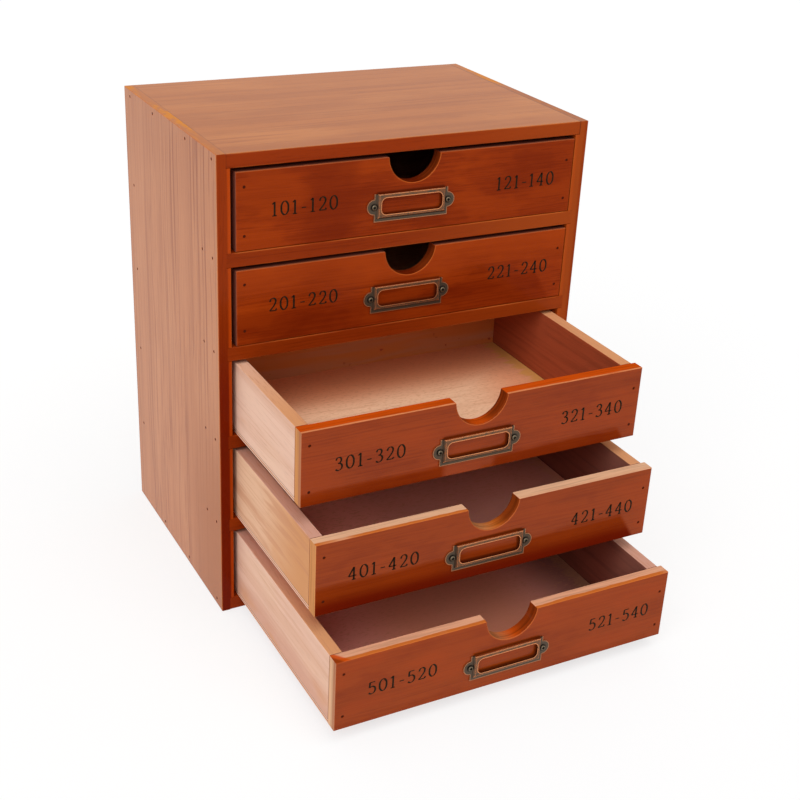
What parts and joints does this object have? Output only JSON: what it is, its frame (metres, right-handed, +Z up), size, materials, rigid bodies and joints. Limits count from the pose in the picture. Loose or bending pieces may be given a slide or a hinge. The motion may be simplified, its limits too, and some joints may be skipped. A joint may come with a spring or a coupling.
{
  "type": "desk organizer",
  "caption": "Small wooden desk cabinet with a column of sliding drawers, each with a half-round finger notch and a stamped label holder.",
  "frame": {"origin": "middle of the carcass's underside", "axes": "+X to the right, -Y to the front (the way the drawers open), +Z up"},
  "size_m": [0.25, 0.3198, 0.305],
  "materials": {
    "stained_wood": "reddish-brown stain, satin varnish",
    "raw_wood": "bare softwood, lightly tinted",
    "plywood": "thin plywood, bare",
    "holder_metal": "antique bronze, worn bright on the edges",
    "screw_metal": "antique bronze",
    "nail_steel": "dark, sunk into the wood"
  },
  "bodies": {
    "carcass": {"side_left": "stained_wood", "side_right": "stained_wood", "top_board": "stained_wood", "bottom_board": "stained_wood", "back_panel": "plywood", "rail_1": "stained_wood", "runner_1_left": "raw_wood", "runner_1_right": "raw_wood", "rail_2": "stained_wood", "runner_2_left": "raw_wood", "runner_2_right": "raw_wood", "rail_3": "stained_wood", "runner_3_left": "raw_wood", "runner_3_right": "raw_wood", "rail_4": "stained_wood", "runner_4_left": "raw_wood", "runner_4_right": "raw_wood", "carcass_nails": "nail_steel"},
    "drawer_1": {"drawer_1_front": "stained_wood", "drawer_1_side_left": "raw_wood", "drawer_1_side_right": "raw_wood", "drawer_1_back": "raw_wood", "drawer_1_bottom": "plywood", "drawer_1_label_holder": "holder_metal", "drawer_1_label_screws": "screw_metal", "drawer_1_nails": "nail_steel"},
    "drawer_2": {"drawer_2_front": "stained_wood", "drawer_2_side_left": "raw_wood", "drawer_2_side_right": "raw_wood", "drawer_2_back": "raw_wood", "drawer_2_bottom": "plywood", "drawer_2_label_holder": "holder_metal", "drawer_2_label_screws": "screw_metal", "drawer_2_nails": "nail_steel"},
    "drawer_3": {"drawer_3_front": "stained_wood", "drawer_3_side_left": "raw_wood", "drawer_3_side_right": "raw_wood", "drawer_3_back": "raw_wood", "drawer_3_bottom": "plywood", "drawer_3_label_holder": "holder_metal", "drawer_3_label_screws": "screw_metal", "drawer_3_nails": "nail_steel"},
    "drawer_4": {"drawer_4_front": "stained_wood", "drawer_4_side_left": "raw_wood", "drawer_4_side_right": "raw_wood", "drawer_4_back": "raw_wood", "drawer_4_bottom": "plywood", "drawer_4_label_holder": "holder_metal", "drawer_4_label_screws": "screw_metal", "drawer_4_nails": "nail_steel"},
    "drawer_5": {"drawer_5_front": "stained_wood", "drawer_5_side_left": "raw_wood", "drawer_5_side_right": "raw_wood", "drawer_5_back": "raw_wood", "drawer_5_bottom": "plywood", "drawer_5_label_holder": "holder_metal", "drawer_5_label_screws": "screw_metal", "drawer_5_nails": "nail_steel"}
  },
  "joints": [
    {"name": "drawer_1_slide", "type": "slide", "parent": "carcass", "child": "drawer_1", "axis": [0, -1, 0], "range_m": [0, 0.15]},
    {"name": "drawer_2_slide", "type": "slide", "parent": "carcass", "child": "drawer_2", "axis": [0, -1, 0], "range_m": [0, 0.15]},
    {"name": "drawer_3_slide", "type": "slide", "parent": "carcass", "child": "drawer_3", "axis": [0, -1, 0], "range_m": [-0.09594, 0.05406]},
    {"name": "drawer_4_slide", "type": "slide", "parent": "carcass", "child": "drawer_4", "axis": [0, -1, 0], "range_m": [-0.11808, 0.03192]},
    {"name": "drawer_5_slide", "type": "slide", "parent": "carcass", "child": "drawer_5", "axis": [0, -1, 0], "range_m": [-0.1476, 0.0024]}
  ]
}
